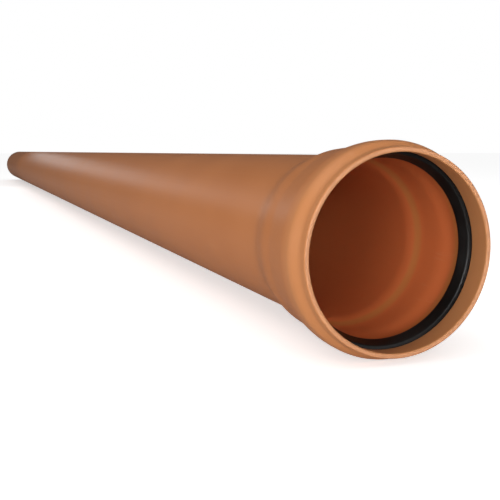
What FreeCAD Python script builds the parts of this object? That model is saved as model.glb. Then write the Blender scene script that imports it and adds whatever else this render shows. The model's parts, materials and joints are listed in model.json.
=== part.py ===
import FreeCAD, Part
import Sketcher
import os

# A 110 mm plastic drainage pipe, three metres long, with a push-fit socket on one end
# and the rubber seal ring that sits in the socket's groove.
#
# Both pieces are turned about the pipe's axis. Each outline is drawn with its first
# coordinate as the depth from the socket's mouth into the pipe, and its second as the
# radius. The bodies are then turned so that the mouth points along +X. The pipe lies on
# its bead, with the middle of its length over the origin.

# Driving sizes in millimetres, and one angle in degrees.
SIZES = {
    "pipe_od": (110.0, "outside diameter of the barrel and the spigot"),
    "pipe_wall": (3.2, "wall of the barrel"),
    "laying_length": (3000.0, "length that one pipe adds to a run, without its socket"),
    "chamfer_length": (6.0, "length of the lead-in chamfer on the spigot"),
    "chamfer_angle": (15.0, "slope of that chamfer"),
    "socket_depth": (66.0, "depth of the socket, from its mouth to its root"),
    "socket_clearance": (0.45, "gap round a spigot in the socket"),
    "socket_wall": (4.3, "wall of the socket behind its bead"),
    "outer_taper": (20.0, "length of the outer taper from the socket to the barrel"),
    "inner_taper": (11.0, "length of the inner taper from the socket to the barrel"),
    "mouth_clearance": (2.0, "gap round a spigot at the mouth"),
    "lip_wall": (3.1, "wall of the plain lip in front of the bead"),
    "lip_length": (7.0, "length of that lip, to the foot of the bead"),
    "groove_start": (16.5, "depth of the seal groove's front shoulder"),
    "groove_width": (9.0, "width of the seal groove"),
    "groove_room": (5.8, "room between a spigot and the floor of the groove"),
    "front_shoulder": (2.3, "height of the groove's front shoulder"),
    "rear_shoulder": (2.0, "height of the groove's rear shoulder"),
    "bead_wall": (3.2, "wall of the bead over the groove"),
    "crest_lead": (3.7, "distance that the bead's crest starts ahead of the groove"),
    "crest_setback": (1.7, "distance that the crest ends short of the groove's rear"),
    "socket_land": (14.0, "length of the plain socket between the bead's slope and the root"),
    "bore_land": (20.0, "length of the plain socket bore ahead of the root"),
    "seal_play": (0.3, "gap between the seal ring and the groove's walls"),
    "seal_squeeze": (1.4, "how far the seal's lip reaches inside a spigot's surface"),
    "seal_land": (1.2, "width of the lip's sealing edge"),
    "seal_heel": (0.5, "how far the ring stands proud of the rear shoulder"),
    "nose_drop": (2.1, "how far the ring's nose stands proud of the front shoulder"),
    "nose_lead": (0.3, "length of the steep face in front of the nose"),
    "nose_width": (2.1, "width of the nose"),
    "nose_fall": (1.0, "how far the nose leans inwards over its width"),
    "lip_lean": (3.3, "how far the lip leans back from the nose"),
    "lip_root": (1.0, "how far the back of the lip's root lies behind the nose's face"),
    "nose_round": (1.2, "rounding of the nose"),
    "mouth_round": (1.2, "rounding of the mouth's outer edge"),
    "edge_round": (1.2, "rounding of the mouth's inner edge"),
    "valley_round": (7.0, "rounding of the foot in front of the bead"),
    "bead_round": (9.0, "rounding of the bead's front corner"),
    "socket_round": (45.0, "rounding of the gentle corners along the outside of the socket"),
    "bore_round": (30.0, "rounding of the gentle corners in the socket's bore"),
}

# Radii, as formulas on the driving sizes.
SPIGOT_R = "dims.pipe_od / 2"
BORE_R = SPIGOT_R + " - dims.pipe_wall"
SPIGOT_TIP_R = SPIGOT_R + " - dims.chamfer_length * tan(dims.chamfer_angle * 1 deg)"
MOUTH_R = SPIGOT_R + " + dims.mouth_clearance"
LIP_R = MOUTH_R + " + dims.lip_wall"
SOCKET_BORE_R = SPIGOT_R + " + dims.socket_clearance"
SOCKET_R = SOCKET_BORE_R + " + dims.socket_wall"
GROOVE_R = SPIGOT_R + " + dims.groove_room"
BEAD_R = GROOVE_R + " + dims.bead_wall"
FRONT_SHOULDER_R = GROOVE_R + " - dims.front_shoulder"
REAR_SHOULDER_R = GROOVE_R + " - dims.rear_shoulder"
SEAL_R = GROOVE_R + " - dims.seal_play"
SEAL_LIP_R = SPIGOT_R + " - dims.seal_squeeze"
NOSE_R = FRONT_SHOULDER_R + " - dims.nose_drop"

# Depths from the mouth, in the same way.
OVERALL = "dims.laying_length + dims.socket_depth"
GROOVE_END = "dims.groove_start + dims.groove_width"
CREST_START = "dims.groove_start - dims.crest_lead"
CREST_END = GROOVE_END + " - dims.crest_setback"
SLOPE_END = "dims.socket_depth - dims.socket_land"
BORE_SLOPE_END = "dims.socket_depth - dims.bore_land"
TAPER_END = "dims.socket_depth + dims.outer_taper"
BORE_START = "dims.socket_depth + dims.inner_taper"
CHAMFER_START = OVERALL + " - dims.chamfer_length"
SEAL_FRONT = "dims.groove_start + dims.seal_play"
SEAL_BACK = GROOVE_END + " - dims.seal_play"
NOSE_START = SEAL_FRONT + " + dims.nose_lead"
NOSE_END = NOSE_START + " + dims.nose_width"
LAND_START = NOSE_END + " + dims.lip_lean"
LAND_END = LAND_START + " + dims.seal_land"

# The pipe's section, from the mouth's inner edge along the outside to the spigot, and
# back through the bore.
PIPE_CORNERS = {
    "mouth_inner": ("0", MOUTH_R),
    "mouth_outer": ("0", LIP_R),
    "valley": ("dims.lip_length", LIP_R),
    "crest_front": (CREST_START, BEAD_R),
    "crest_back": (CREST_END, BEAD_R),
    "slope_foot": (SLOPE_END, SOCKET_R),
    "socket_root": ("dims.socket_depth", SOCKET_R),
    "barrel_start": (TAPER_END, SPIGOT_R),
    "chamfer_start": (CHAMFER_START, SPIGOT_R),
    "spigot_outer": (OVERALL, SPIGOT_TIP_R),
    "spigot_inner": (OVERALL, BORE_R),
    "bore_start": (BORE_START, BORE_R),
    "socket_bore_root": ("dims.socket_depth", SOCKET_BORE_R),
    "socket_bore_front": (BORE_SLOPE_END, SOCKET_BORE_R),
    "rear_shoulder_edge": (GROOVE_END, REAR_SHOULDER_R),
    "groove_floor_rear": (GROOVE_END, GROOVE_R),
    "groove_floor_front": ("dims.groove_start", GROOVE_R),
    "front_shoulder_edge": ("dims.groove_start", FRONT_SHOULDER_R),
}

# The seal ring's section: a body that fills the groove, a rounded nose towards the mouth,
# and a lip that leans inwards and back to its sealing edge.
SEAL_CORNERS = {
    "body_front": (SEAL_FRONT, SEAL_R),
    "body_back": (SEAL_BACK, SEAL_R),
    "heel": (SEAL_BACK, REAR_SHOULDER_R + " - dims.seal_heel"),
    "lip_root_back": (LAND_END, NOSE_R + " + dims.lip_root"),
    "land_back": (LAND_END, SEAL_LIP_R),
    "land_front": (LAND_START, SEAL_LIP_R),
    "nose_back": (NOSE_END, NOSE_R + " - dims.nose_fall"),
    "nose_front": (NOSE_START, NOSE_R),
    "body_shoulder": (SEAL_FRONT, FRONT_SHOULDER_R),
}


def add_sheet(doc):
    """Put the driving sizes in a spreadsheet, one alias a size."""
    sheet = doc.addObject("Spreadsheet::Sheet", "dims")
    for row, (alias, (value, note)) in enumerate(SIZES.items(), start=1):
        sheet.set("A%d" % row, note)
        sheet.set("B%d" % row, str(value))
        sheet.setAlias("B%d" % row, alias)
    doc.recompute()


def section_sketch(body, name, corners):
    """Draw a closed section through the corners, each held by its depth and its radius."""
    sketch = body.newObject("Sketcher::SketchObject", name)
    planes = [item for item in body.Origin.OriginFeatures if item.Role == "XZ_Plane"]
    sketch.AttachmentSupport = (planes[0], "")
    sketch.MapMode = "FlatFace"
    points = [corner_point(body, corner) for corner in corners.values()]
    sides = len(points)
    for index in range(sides):
        sketch.addGeometry(Part.LineSegment(points[index], points[(index + 1) % sides]), False)
    for index, (corner, (depth, radius)) in enumerate(corners.items()):
        before = index - 1 if index else sides - 1
        sketch.addConstraint(Sketcher.Constraint("Coincident", before, 2, index, 1))
        if depth == "0":
            sketch.addConstraint(Sketcher.Constraint("PointOnObject", index, 1, -2))
        else:
            hold_corner(sketch, "DistanceX", index, corner + "_depth", points[index].x, depth)
        hold_corner(sketch, "DistanceY", index, corner + "_radius", points[index].y, radius)
    return sketch


def hold_corner(sketch, kind, line, name, value, formula):
    """Hold the start of a line at a distance from the origin, bound to a formula."""
    row = sketch.addConstraint(Sketcher.Constraint(kind, -1, 1, line, 1, value))
    sketch.renameConstraint(row, name)
    sketch.setExpression("Constraints." + name, formula)


def corner_point(body, corner):
    """Give a corner's place in the section, as depth and radius."""
    depth, radius = corner
    return FreeCAD.Vector(body.evalExpression(depth), body.evalExpression(radius), 0)


def turned_body(doc, name, corners):
    """Turn a section about the pipe's axis into a body, with its mouth end towards +X."""
    body = doc.addObject("PartDesign::Body", name)
    body.Label = name
    sketch = section_sketch(body, name + "_section", corners)
    turned = body.newObject("PartDesign::Revolution", name + "_turned")
    turned.Profile = sketch
    turned.ReferenceAxis = (sketch, ["H_Axis"])
    turned.Angle = 360
    sketch.Visibility = False
    half_turn = FreeCAD.Rotation(FreeCAD.Vector(0, 0, 1), 180)
    body.Placement = FreeCAD.Placement(FreeCAD.Vector(0, 0, 0), half_turn)
    body.setExpression("Placement.Base.x", "(" + OVERALL + ") / 2")
    body.setExpression("Placement.Base.z", BEAD_R)
    doc.recompute()
    return body


def round_corners(doc, body, name, corners, alias):
    """Round the circular edges that the named corners trace, by the radius in one cell."""
    base = body.Tip
    found = []
    for corner in corners:
        point = corner_point(body, corner)
        for number, edge in enumerate(base.Shape.Edges, start=1):
            if is_ring(edge, point.x, point.y):
                found.append("Edge%d" % number)
    if len(found) != len(corners):
        raise RuntimeError(name + ": a corner has no edge to round")
    fillet = body.newObject("PartDesign::Fillet", name)
    fillet.Base = (base, found)
    fillet.setExpression("Radius", "dims." + alias)
    doc.recompute()


def is_ring(edge, depth, radius):
    """Say whether an edge is the full circle of that radius at that depth."""
    near = 1e-4
    curve = edge.Curve
    if not isinstance(curve, Part.Circle):
        return False
    return abs(curve.Center.x - depth) < near and abs(curve.Radius - radius) < near


def make_pipe(doc):
    """The pipe itself: barrel, chamfered spigot and belled socket in one piece."""
    body = turned_body(doc, "pipe", PIPE_CORNERS)
    gentle = [PIPE_CORNERS[key] for key in ("crest_back", "slope_foot", "socket_root", "barrel_start")]
    round_corners(doc, body, "socket_rounding", gentle, "socket_round")
    inside = [PIPE_CORNERS[key] for key in ("bore_start", "socket_bore_root", "socket_bore_front")]
    round_corners(doc, body, "bore_rounding", inside, "bore_round")
    round_corners(doc, body, "bead_rounding", [PIPE_CORNERS["crest_front"]], "bead_round")
    round_corners(doc, body, "valley_rounding", [PIPE_CORNERS["valley"]], "valley_round")
    round_corners(doc, body, "mouth_rounding", [PIPE_CORNERS["mouth_outer"]], "mouth_round")
    round_corners(doc, body, "edge_rounding", [PIPE_CORNERS["mouth_inner"]], "edge_round")
    return body


def make_seal_ring(doc):
    """The rubber ring that seals against the next pipe's spigot."""
    body = turned_body(doc, "seal_ring", SEAL_CORNERS)
    nose = [SEAL_CORNERS["nose_front"], SEAL_CORNERS["nose_back"]]
    round_corners(doc, body, "nose_rounding", nose, "nose_round")
    return body


def check(doc, bodies):
    """Stop if any feature failed, or if a body isn't one sound solid."""
    for item in doc.Objects:
        if "Invalid" in item.State or "Error" in item.State:
            raise RuntimeError("failed: " + item.Name)
    for body in bodies:
        if body.Shape.isNull() or not body.Shape.isValid() or len(body.Shape.Solids) != 1:
            raise RuntimeError("not one sound solid: " + body.Label)


def main():
    doc = FreeCAD.newDocument("drainage_pipe")
    add_sheet(doc)
    bodies = [make_pipe(doc), make_seal_ring(doc)]
    doc.recompute()
    check(doc, bodies)
    os.makedirs("parts", exist_ok=True)
    for body in bodies:
        body.Shape.exportStep("parts/" + body.Label + ".step")
        box = body.Shape.BoundBox
        print(body.Label, "volume %.0f mm3" % body.Shape.Volume)
        print("  x %.2f to %.2f, z %.2f to %.2f" % (box.XMin, box.XMax, box.ZMin, box.ZMax))


main()
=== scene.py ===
import bpy
import bmesh
import json
import math
from mathutils import Matrix, Vector


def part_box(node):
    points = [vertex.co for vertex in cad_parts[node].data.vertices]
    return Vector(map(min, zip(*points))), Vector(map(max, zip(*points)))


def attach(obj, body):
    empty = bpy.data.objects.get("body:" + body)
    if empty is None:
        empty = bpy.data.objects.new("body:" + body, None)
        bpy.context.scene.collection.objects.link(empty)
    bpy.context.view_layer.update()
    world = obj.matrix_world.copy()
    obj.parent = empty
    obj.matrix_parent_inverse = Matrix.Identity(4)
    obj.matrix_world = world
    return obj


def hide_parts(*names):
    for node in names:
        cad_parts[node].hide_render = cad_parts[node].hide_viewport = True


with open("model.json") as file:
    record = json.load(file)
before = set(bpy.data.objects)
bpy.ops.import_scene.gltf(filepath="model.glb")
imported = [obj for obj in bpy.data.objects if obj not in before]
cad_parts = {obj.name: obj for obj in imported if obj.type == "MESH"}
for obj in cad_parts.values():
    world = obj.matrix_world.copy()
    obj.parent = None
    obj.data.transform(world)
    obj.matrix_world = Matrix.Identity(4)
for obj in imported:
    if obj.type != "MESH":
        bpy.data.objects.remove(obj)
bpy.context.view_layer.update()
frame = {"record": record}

# ---------------------------------------------------------------- sizes
# The frame gives where the pipe's ends, its axis and its main radii are. The other sizes
# are depths from the mouth and steps in radius, in millimetres as a maker's drawing has
# them.

MM = 0.001
mounts = {mount["name"]: mount for mount in frame["record"]["mounts"]}
pipe_low, pipe_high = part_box("pipe")
ring_low, ring_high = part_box("seal_ring")

AXIS_HEIGHT = (pipe_low.z + pipe_high.z) / 2
MOUTH_X = pipe_high.x
LENGTH = (pipe_high.x - pipe_low.x) / MM
SPIGOT_R = mounts["spigot"]["dims"]["r_mm"]
BORE_R = mounts["pipe_bore"]["dims"]["r_mm"]
SEAL_LIP_R = mounts["socket_seal"]["dims"]["r_mm"]
BEAD_R = (pipe_high.z - pipe_low.z) / 2 / MM

SOCKET_WALL = 4.3
SOCKET_CLEARANCE = 0.45
LIP_WALL = 3.1
CHAMFER_ANGLE = math.radians(15)

MOUTH_R = SPIGOT_R + 2.0
LIP_R = MOUTH_R + LIP_WALL
VALLEY = 7.0
GROOVE_R = BEAD_R - 3.2
GROOVE_START = 16.5
GROOVE_END = 25.5
CREST_START = 12.8
CREST_END = 23.8
SOCKET_BORE_R = SPIGOT_R + SOCKET_CLEARANCE
SOCKET_R = SOCKET_BORE_R + SOCKET_WALL
SOCKET_DEPTH = 66.0
SLOPE_END = SOCKET_DEPTH - 14.0
INNER_SLOPE_END = SOCKET_DEPTH - 20.0
OUTER_TAPER_END = SOCKET_DEPTH + 20.0
INNER_TAPER_END = SOCKET_DEPTH + 11.0
CHAMFER_LENGTH = 6.0
CHAMFER_DEPTH = CHAMFER_LENGTH * math.tan(CHAMFER_ANGLE)
FRONT_SHOULDER_R = GROOVE_R - 2.3
REAR_SHOULDER_R = GROOVE_R - 2.0

SEAL_FRONT = (MOUTH_X - ring_high.x) / MM
SEAL_BACK = (MOUTH_X - ring_low.x) / MM
SEAL_R = (ring_high.z - ring_low.z) / 2 / MM
NOSE_R = FRONT_SHOULDER_R - 2.1
NOSE_START = SEAL_FRONT + 0.3
NOSE_END = NOSE_START + 2.1
LAND_START = NOSE_END + 3.3
LAND_END = LAND_START + 1.2

# ---------------------------------------------------------------- turned pieces

# Each corner of a section is its depth from the mouth, its radius and its rounding.
PIPE_SECTION = [
    (0, MOUTH_R, 1.2),
    (0, LIP_R, 1.2),
    (VALLEY, LIP_R, 7),
    (CREST_START, BEAD_R, 9),
    (CREST_END, BEAD_R, 45),
    (SLOPE_END, SOCKET_R, 45),
    (SOCKET_DEPTH, SOCKET_R, 45),
    (OUTER_TAPER_END, SPIGOT_R, 60),
    (LENGTH - CHAMFER_LENGTH, SPIGOT_R, 0.8),
    (LENGTH, SPIGOT_R - CHAMFER_DEPTH, 0.25),
    (LENGTH, BORE_R, 0.25),
    (INNER_TAPER_END, BORE_R, 30),
    (SOCKET_DEPTH, SOCKET_BORE_R, 30),
    (INNER_SLOPE_END, SOCKET_BORE_R, 45),
    (GROOVE_END, REAR_SHOULDER_R, 0.5),
    (GROOVE_END, GROOVE_R, 0.4),
    (GROOVE_START, GROOVE_R, 0.4),
    (GROOVE_START, FRONT_SHOULDER_R, 0.5),
]

SEAL_SECTION = [
    (SEAL_FRONT, SEAL_R, 0.5),
    (SEAL_BACK, SEAL_R, 0.5),
    (SEAL_BACK, REAR_SHOULDER_R - 0.5, 0.6),
    (LAND_END, NOSE_R + 1.0, 0.8),
    (LAND_END, SEAL_LIP_R, 0.4),
    (LAND_START, SEAL_LIP_R, 1.2),
    (NOSE_END, NOSE_R - 1.0, 1.2),
    (NOSE_START, NOSE_R, 1.2),
    (SEAL_FRONT, FRONT_SHOULDER_R, 0.3),
]

TURN_STEPS = 256
BARREL_STEP = 60.0
SHARP_ANGLE = math.radians(40)
ARC_STEP = math.radians(8)
STRAIGHT_ENOUGH = 1e-3
MERGE_DISTANCE = 1e-7


def section_place(depth, radius):
    """Where a point of a section lies before it is turned, straight above the axis."""
    return Vector((MOUTH_X - depth * MM, 0, AXIS_HEIGHT + radius * MM))


def round_corner(shape, corner, rounding):
    """Round one corner of a flat section with an arc of that radius."""
    first, second = [edge.other_vert(corner).co - corner.co for edge in corner.link_edges]
    half_turn = (math.pi - first.angle(second)) / 2
    if half_turn < STRAIGHT_ENOUGH:
        return
    reach = rounding * MM * math.tan(half_turn)
    steps = max(2, round(half_turn * 2 / ARC_STEP))
    bmesh.ops.bevel(shape, geom=[corner], offset=reach, offset_type="OFFSET", segments=steps,
                    profile=0.5, affect="VERTICES", material=-1)


def turned_piece(name, section):
    """Turn a section about the pipe's axis and return it as an object."""
    shape = bmesh.new()
    corners = [shape.verts.new(section_place(depth, radius)) for depth, radius, _ in section]
    shape.faces.new(corners)
    for corner, (_, _, rounding) in zip(corners, section):
        round_corner(shape, corner, rounding)
    bmesh.ops.delete(shape, geom=shape.faces[:], context="FACES_ONLY")
    long_sides = [edge for edge in shape.edges if edge.calc_length() > 2 * BARREL_STEP * MM]
    for side in long_sides:
        cuts = round(side.calc_length() / (BARREL_STEP * MM)) - 1
        bmesh.ops.subdivide_edges(shape, edges=[side], cuts=cuts)
    bmesh.ops.spin(shape, geom=shape.verts[:] + shape.edges[:], cent=(0, 0, AXIS_HEIGHT),
                   axis=(1, 0, 0), angle=math.tau, steps=TURN_STEPS, use_merge=True)
    bmesh.ops.remove_doubles(shape, verts=shape.verts[:], dist=MERGE_DISTANCE)
    bmesh.ops.recalc_face_normals(shape, faces=shape.faces[:])
    mesh = bpy.data.meshes.new(name)
    shape.to_mesh(mesh)
    shape.free()
    mesh.shade_smooth()
    mesh.set_sharp_from_angle(angle=SHARP_ANGLE)
    piece = bpy.data.objects.new(name, mesh)
    bpy.context.scene.collection.objects.link(piece)
    return piece


# ---------------------------------------------------------------- materials

def new_material(name):
    """An empty material, and its nodes, links and Principled shader."""
    material = bpy.data.materials.new(name)
    material.use_nodes = True
    nodes = material.node_tree.nodes
    nodes.clear()
    output = nodes.new("ShaderNodeOutputMaterial")
    shader = nodes.new("ShaderNodeBsdfPrincipled")
    material.node_tree.links.new(shader.outputs["BSDF"], output.inputs["Surface"])
    return material, nodes, material.node_tree.links, shader


def new_group(name, inputs, outputs):
    """An empty node group with number sockets, and its nodes, links, entry and exit."""
    group = bpy.data.node_groups.new(name, "ShaderNodeTree")
    for socket, value in inputs.items():
        number = group.interface.new_socket(socket, in_out="INPUT", socket_type="NodeSocketFloat")
        number.default_value = value
    for socket in outputs:
        group.interface.new_socket(socket, in_out="OUTPUT", socket_type="NodeSocketFloat")
    entry = group.nodes.new("NodeGroupInput")
    leave = group.nodes.new("NodeGroupOutput")
    return group, group.nodes, group.links, entry, leave


def maths(nodes, links, operation, first, second):
    """A Math node of two values, each a socket or a plain number."""
    node = nodes.new("ShaderNodeMath")
    node.operation = operation
    for socket, value in zip(node.inputs, (first, second)):
        if isinstance(value, bpy.types.NodeSocket):
            links.new(value, socket)
        else:
            socket.default_value = value
    return node.outputs["Value"]


def spread(nodes, links, value, low, high, to_low=0.0, to_high=1.0):
    """Stretch a value from one range to another, smoothly and clamped at both ends."""
    node = nodes.new("ShaderNodeMapRange")
    node.interpolation_type = "SMOOTHSTEP"
    links.new(value, node.inputs["Value"])
    limits = {"From Min": low, "From Max": high, "To Min": to_low, "To Max": to_high}
    for socket, number in limits.items():
        node.inputs[socket].default_value = number
    return node.outputs["Result"]


def mix_colour(nodes, links, amount, first, second):
    """Mix two colours, each a socket or a plain colour, by a mask."""
    node = nodes.new("ShaderNodeMix")
    node.data_type = "RGBA"
    links.new(amount, node.inputs["Factor"])
    colour_sockets = [socket for socket in node.inputs if socket.type == "RGBA"]
    for socket, colour in zip(colour_sockets, (first, second)):
        if isinstance(colour, bpy.types.NodeSocket):
            links.new(colour, socket)
        else:
            socket.default_value = (*colour, 1)
    return [socket for socket in node.outputs if socket.type == "RGBA"][0]


def turned_place_group():
    """Millimetres from the mouth along the axis, and millimetres out from the axis."""
    group, nodes, links, entry, leave = new_group("turned_place", {}, ["Depth", "Radius"])
    place = nodes.new("ShaderNodeTexCoord")
    centred = nodes.new("ShaderNodeMapping")
    centred.inputs["Location"].default_value = (0, 0, -AXIS_HEIGHT)
    links.new(place.outputs["Object"], centred.inputs["Vector"])
    split = nodes.new("ShaderNodeSeparateXYZ")
    links.new(centred.outputs["Vector"], split.inputs["Vector"])
    from_mouth = maths(nodes, links, "SUBTRACT", MOUTH_X, split.outputs["X"])
    links.new(maths(nodes, links, "DIVIDE", from_mouth, MM), leave.inputs["Depth"])
    across = nodes.new("ShaderNodeVectorMath")
    across.operation = "MULTIPLY"
    across.inputs[1].default_value = (0, 1, 1)
    links.new(centred.outputs["Vector"], across.inputs[0])
    length = nodes.new("ShaderNodeVectorMath")
    length.operation = "LENGTH"
    links.new(across.outputs["Vector"], length.inputs[0])
    links.new(maths(nodes, links, "DIVIDE", length.outputs["Value"], MM), leave.inputs["Radius"])
    return group


def ring_lines_group():
    """Fine rings about the axis, as a lathe or a turned mould leaves."""
    inputs = {"Depth": 0, "Radius": 0, "Lines per mm": 2}
    group, nodes, links, entry, leave = new_group("ring_lines", inputs, ["Lines"])
    place = nodes.new("ShaderNodeCombineXYZ")
    links.new(entry.outputs["Depth"], place.inputs["X"])
    links.new(entry.outputs["Radius"], place.inputs["Y"])
    rings = nodes.new("ShaderNodeTexNoise")
    rings.inputs["Detail"].default_value = 3
    links.new(place.outputs["Vector"], rings.inputs["Vector"])
    links.new(entry.outputs["Lines per mm"], rings.inputs["Scale"])
    links.new(rings.outputs["Fac"], leave.inputs["Lines"])
    return group


def cloudy_grain_group():
    """Broad soft clouds and a fine even grain, each from 0 to 1."""
    inputs = {"Cloud scale": 8, "Grain scale": 2000}
    group, nodes, links, entry, leave = new_group("cloudy_grain", inputs, ["Clouds", "Grain"])
    place = nodes.new("ShaderNodeTexCoord")
    for scale, detail, result in (("Cloud scale", 4, "Clouds"), ("Grain scale", 2, "Grain")):
        noise = nodes.new("ShaderNodeTexNoise")
        noise.inputs["Detail"].default_value = detail
        links.new(place.outputs["Object"], noise.inputs["Vector"])
        links.new(entry.outputs[scale], noise.inputs["Scale"])
        links.new(noise.outputs["Fac"], leave.inputs[result])
    return group


def add_relief(nodes, links, shader, height, strength, depth_mm):
    """Bump the surface by a height that is 0 to 1 of a depth in millimetres."""
    relief = nodes.new("ShaderNodeBump")
    relief.inputs["Strength"].default_value = strength
    relief.inputs["Distance"].default_value = depth_mm * MM
    links.new(height, relief.inputs["Height"])
    links.new(relief.outputs["Normal"], shader.inputs["Normal"])


def place_group(nodes, group, values):
    """Put a group in a material with its own values."""
    node = nodes.new("ShaderNodeGroup")
    node.node_tree = group
    for socket, value in values.items():
        node.inputs[socket].default_value = value
    return node


def long_noise(nodes, links, along, across, detail, turn=0.0):
    """Streaks that run along the pipe: noise with few changes along it, many around it."""
    place = nodes.new("ShaderNodeTexCoord")
    stretch = nodes.new("ShaderNodeMapping")
    stretch.inputs["Rotation"].default_value = (0, 0, turn)
    stretch.inputs["Scale"].default_value = (along, across, across)
    links.new(place.outputs["Object"], stretch.inputs["Vector"])
    noise = nodes.new("ShaderNodeTexNoise")
    noise.inputs["Scale"].default_value = 1
    noise.inputs["Detail"].default_value = detail
    links.new(stretch.outputs["Vector"], noise.inputs["Vector"])
    return noise.outputs["Fac"]


turned_place = turned_place_group()
ring_lines = ring_lines_group()
cloudy_grain = cloudy_grain_group()

PVC_DEEP = (0.405, 0.136, 0.036)
PVC_PALE = (0.435, 0.151, 0.043)
# The inner tone is painted light: a redder, brighter colour in the bore that stands in for light
# bounced around inside it.
PVC_BORE_PAINTED_BOUNCE = (0.490, 0.122, 0.037)
# The paler mouth tone is a painted highlight: it stands in for sheen on the lip, the bead's front and
# the mouth's inner land.
PVC_MOUTH_PAINTED_SHEEN = (0.450, 0.195, 0.075)
PVC_CUT = (0.43, 0.190, 0.085)
PVC_SCUFF = (0.52, 0.260, 0.140)
PVC_ROUGHNESS = 0.42
WALL_MIDDLE_SOCKET = (SOCKET_R + SOCKET_BORE_R) / 2
WALL_MIDDLE_BARREL = (SPIGOT_R + BORE_R) / 2


def pvc_material():
    """Orange-brown PVC: clouded, drawn lengthwise, turned at its cut ends, lightly rubbed, with a
    painted sheen at the mouth and painted bounce light in the bore.
    """
    material, nodes, links, shader = new_material("orange_brown_pvc")
    shader.inputs["Specular IOR Level"].default_value = 0.4
    place = place_group(nodes, turned_place, {})
    surface = place_group(nodes, cloudy_grain, {"Cloud scale": 14, "Grain scale": 1500})
    rings = place_group(nodes, ring_lines, {"Lines per mm": 1.6})
    links.new(place.outputs["Depth"], rings.inputs["Depth"])
    links.new(place.outputs["Radius"], rings.inputs["Radius"])
    streaks = long_noise(nodes, links, 1.2, 900, 2)

    cloud_share = maths(nodes, links, "MULTIPLY", surface.outputs["Clouds"], 0.85)
    streak_share = maths(nodes, links, "MULTIPLY", streaks, 0.15)
    blend = maths(nodes, links, "ADD", cloud_share, streak_share)
    paleness = spread(nodes, links, blend, 0.32, 0.68)
    tone = mix_colour(nodes, links, paleness, PVC_DEEP, PVC_PALE)

    # Painted highlight: the lip and the bead's front take half of the paler mouth tone, which stands
    # in for sheen.
    sheen_near_mouth = spread(nodes, links, place.outputs["Depth"], CREST_END + 2, CREST_START)
    painted_sheen_share = maths(nodes, links, "MULTIPLY", sheen_near_mouth, 0.5)
    tone = mix_colour(nodes, links, painted_sheen_share, tone, PVC_MOUTH_PAINTED_SHEEN)
    # Painted bounce light: the inner face past the seal takes the redder, brighter inner tone, which
    # stands in for light bounced inside the bore.
    wall_middle = spread(nodes, links, place.outputs["Depth"], SOCKET_DEPTH - 8, SOCKET_DEPTH + 6,
                         WALL_MIDDLE_SOCKET, WALL_MIDDLE_BARREL)
    past_middle = maths(nodes, links, "SUBTRACT", place.outputs["Radius"], wall_middle)
    inner_face = spread(nodes, links, past_middle, 0.5, -0.5)
    past_seal = spread(nodes, links, place.outputs["Depth"], GROOVE_START, GROOVE_END)
    painted_bounce_mask = maths(nodes, links, "MULTIPLY", inner_face, past_seal)
    tone = mix_colour(nodes, links, painted_bounce_mask, tone, PVC_BORE_PAINTED_BOUNCE)
    # Painted highlight: the mouth's inner land in front of the seal takes the paler mouth tone, which
    # stands in for sheen.
    inside = spread(nodes, links, place.outputs["Radius"], LIP_R - 0.3, LIP_R - 2.2)
    before_seal = maths(nodes, links, "SUBTRACT", 1, past_seal)
    painted_sheen_in_mouth = maths(nodes, links, "MULTIPLY", inside, before_seal)
    tone = mix_colour(nodes, links, painted_sheen_in_mouth, tone, PVC_MOUTH_PAINTED_SHEEN)

    chamfer_start = LENGTH - CHAMFER_LENGTH
    end_cut = spread(nodes, links, place.outputs["Depth"], chamfer_start - 0.3, chamfer_start)
    mouth_cut = spread(nodes, links, place.outputs["Depth"], 0.5, 0.1)
    cut = maths(nodes, links, "MAXIMUM", end_cut, mouth_cut)
    cut_tone = mix_colour(nodes, links, cut, tone, PVC_CUT)

    rubbed = spread(nodes, links, long_noise(nodes, links, 14, 160, 5, 0.05), 0.62, 0.74)
    outside = spread(nodes, links, place.outputs["Radius"], SPIGOT_R - 0.6, SPIGOT_R - 0.2)
    patches = spread(nodes, links, surface.outputs["Clouds"], 0.50, 0.62)
    rubbed_outside = maths(nodes, links, "MULTIPLY", rubbed, outside)
    scuff = maths(nodes, links, "MULTIPLY", rubbed_outside, patches)
    faint = maths(nodes, links, "MULTIPLY", scuff, 0.35)
    links.new(mix_colour(nodes, links, faint, cut_tone, PVC_SCUFF), shader.inputs["Base Color"])

    dull = maths(nodes, links, "ADD", maths(nodes, links, "MULTIPLY", surface.outputs["Clouds"], 0.10),
                 maths(nodes, links, "MULTIPLY", streaks, 0.06))
    worn = maths(nodes, links, "ADD", maths(nodes, links, "MULTIPLY", scuff, 0.10),
                 maths(nodes, links, "MULTIPLY", cut, 0.12))
    rough = maths(nodes, links, "ADD", maths(nodes, links, "ADD", dull, worn), PVC_ROUGHNESS - 0.08)
    links.new(rough, shader.inputs["Roughness"])

    cut_rings = maths(nodes, links, "MULTIPLY", rings.outputs["Lines"], cut)
    ring_height = maths(nodes, links, "MULTIPLY", cut_rings, 3.0)
    fine_streaks = maths(nodes, links, "MULTIPLY", streaks, 0.3)
    height = maths(nodes, links, "ADD", maths(nodes, links, "ADD", fine_streaks, ring_height),
                   maths(nodes, links, "MULTIPLY", surface.outputs["Grain"], 0.5))
    add_relief(nodes, links, shader, height, 0.5, 0.02)
    return material


RUBBER_BLACK = (0.002, 0.002, 0.002)
RUBBER_BLOOM = (0.005, 0.005, 0.005)


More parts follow.
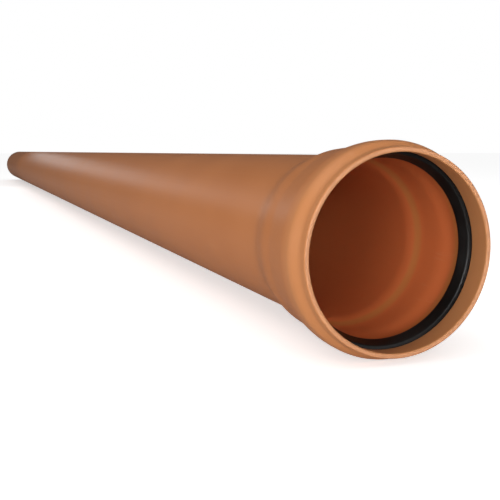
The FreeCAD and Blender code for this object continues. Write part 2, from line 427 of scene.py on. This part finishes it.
def rubber_material():
    """Black moulded rubber: faint ring lines from its mould and a grey bloom."""
    material, nodes, links, shader = new_material("black_rubber")
    shader.inputs["Specular IOR Level"].default_value = 0.25
    place = place_group(nodes, turned_place, {})
    surface = place_group(nodes, cloudy_grain, {"Cloud scale": 45, "Grain scale": 2600})
    rings = place_group(nodes, ring_lines, {"Lines per mm": 2.5})
    links.new(place.outputs["Depth"], rings.inputs["Depth"])
    links.new(place.outputs["Radius"], rings.inputs["Radius"])
    bloom = spread(nodes, links, surface.outputs["Clouds"], 0.35, 0.70)
    tone = mix_colour(nodes, links, bloom, RUBBER_BLACK, RUBBER_BLOOM)
    links.new(tone, shader.inputs["Base Color"])
    dull = maths(nodes, links, "ADD", maths(nodes, links, "MULTIPLY", bloom, 0.10),
                 maths(nodes, links, "MULTIPLY", rings.outputs["Lines"], 0.08))
    links.new(maths(nodes, links, "ADD", dull, 0.32), shader.inputs["Roughness"])
    height = maths(nodes, links, "ADD", rings.outputs["Lines"],
                   maths(nodes, links, "MULTIPLY", surface.outputs["Grain"], 0.7))
    add_relief(nodes, links, shader, height, 0.6, 0.03)
    return material


pipe_body = turned_piece("pipe_body", PIPE_SECTION)
pipe_body.data.materials.append(pvc_material())
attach(pipe_body, "root")
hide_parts("pipe")

rubber_seal = turned_piece("rubber_seal", SEAL_SECTION)
rubber_seal.data.materials.append(rubber_material())
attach(rubber_seal, "root")
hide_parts("seal_ring")

# ---------------------------------------------------------------- floor, lights, camera

FLOOR_SIZE = 40
FLOOR_TONE = (0.9, 0.9, 0.9)
FLOOR_REFLECTED = (0.4, 0.4, 0.4)
FLOOR_LIFT = 0.5


def make_floor():
    """A plain pale floor, lifted where it is seen and darker where it is reflected."""
    mesh = bpy.data.meshes.new("floor")
    plane = bmesh.new()
    bmesh.ops.create_grid(plane, x_segments=1, y_segments=1, size=FLOOR_SIZE)
    plane.to_mesh(mesh)
    plane.free()
    floor = bpy.data.objects.new("floor", mesh)
    bpy.context.scene.collection.objects.link(floor)
    material, nodes, links, shader = new_material("pale_floor")
    shader.inputs["Roughness"].default_value = 0.9
    shader.inputs["Specular IOR Level"].default_value = 0.0
    path = nodes.new("ShaderNodeLightPath")
    tone = mix_colour(nodes, links, path.outputs["Is Glossy Ray"], FLOOR_TONE, FLOOR_REFLECTED)
    links.new(tone, shader.inputs["Base Color"])
    shader.inputs["Emission Color"].default_value = (1, 1, 1, 1)
    lift = maths(nodes, links, "MULTIPLY", path.outputs["Is Camera Ray"], FLOOR_LIFT)
    links.new(lift, shader.inputs["Emission Strength"])
    mesh.materials.append(material)


WORLD_DIFFUSE = 0.50
WORLD_GLOSSY = 0.12
WORLD_SEEN = 1.0


def make_world():
    """A white studio: bright where it is seen, and softer where it lights and reflects."""
    world = bpy.data.worlds.new("studio")
    bpy.context.scene.world = world
    world.use_nodes = True
    nodes = world.node_tree.nodes
    links = world.node_tree.links
    background = nodes["Background"]
    path = nodes.new("ShaderNodeLightPath")
    glossy = nodes.new("ShaderNodeMix")
    glossy.inputs["A"].default_value = WORLD_DIFFUSE
    glossy.inputs["B"].default_value = WORLD_GLOSSY
    links.new(path.outputs["Is Glossy Ray"], glossy.inputs["Factor"])
    seen = nodes.new("ShaderNodeMix")
    seen.inputs["B"].default_value = WORLD_SEEN
    links.new(path.outputs["Is Camera Ray"], seen.inputs["Factor"])
    links.new(glossy.outputs["Result"], seen.inputs["A"])
    background.inputs["Color"].default_value = (1, 1, 1, 1)
    links.new(seen.outputs["Result"], background.inputs["Strength"])


CAMERA_PLACE = Vector((1.9031, -0.2284, 0.1215))
CAMERA_FORWARD = Vector((-0.92986, 0.34500, -0.12778))
CAMERA_LENS = 55.3


def facing(place, direction):
    """Where a camera or a lamp stands that looks along a direction."""
    turn = direction.to_track_quat("-Z", "Y").to_matrix().to_4x4()
    return Matrix.Translation(place) @ turn


def make_camera():
    """A camera close to the socket, looking along the pipe past its left side."""
    camera = bpy.data.cameras.new("camera")
    camera.sensor_width = 36
    camera.lens = CAMERA_LENS
    camera.clip_end = 100
    thing = bpy.data.objects.new("camera", camera)
    bpy.context.scene.collection.objects.link(thing)
    thing.matrix_world = facing(CAMERA_PLACE, CAMERA_FORWARD)
    bpy.context.scene.camera = thing


def make_light(name, place, aim, width, height, power, beam=180, fill=1):
    """A soft rectangular lamp that faces its aim. No fill means that it only gives sheen."""
    lamp = bpy.data.lights.new(name, "AREA")
    lamp.shape = "RECTANGLE"
    lamp.size = width
    lamp.size_y = height
    lamp.energy = power
    lamp.spread = math.radians(beam)
    lamp.diffuse_factor = fill
    thing = bpy.data.objects.new(name, lamp)
    bpy.context.scene.collection.objects.link(thing)
    thing.matrix_world = facing(Vector(place), Vector(aim) - Vector(place))
    thing.visible_camera = False


make_floor()
make_world()
make_camera()
MOUTH = (MOUTH_X, 0, AXIS_HEIGHT)
make_light("front", (4.9, -1.05, 0.45), MOUTH, 0.9, 0.9, 4.6, beam=40)
make_light("left_front", (3.10, -1.90, 0.50), MOUTH, 1.2, 0.9, 22)
make_light("high", (1.00, -1.20, 2.40), (1.2, 0, 0.06), 2.0, 2.0, 12)
make_light("left_sheen", (1.20, -2.00, 0.40), (1.5, 0, 0.06), 1.6, 0.7, 3.5, fill=0)
make_light("front_sheen", (4.00, 0.90, 0.60), MOUTH, 1.2, 0.9, 14, fill=0)
make_light("far_low", (-0.85, -0.20, 0.34), (0.2, 0, 0.1), 0.35, 0.2, 0.36)
make_light("socket", (-0.30, -0.62, 0.60), (1.488, -0.05, 0.09), 0.5, 0.5, 0.45)
bpy.context.scene.view_settings.view_transform = "Standard"
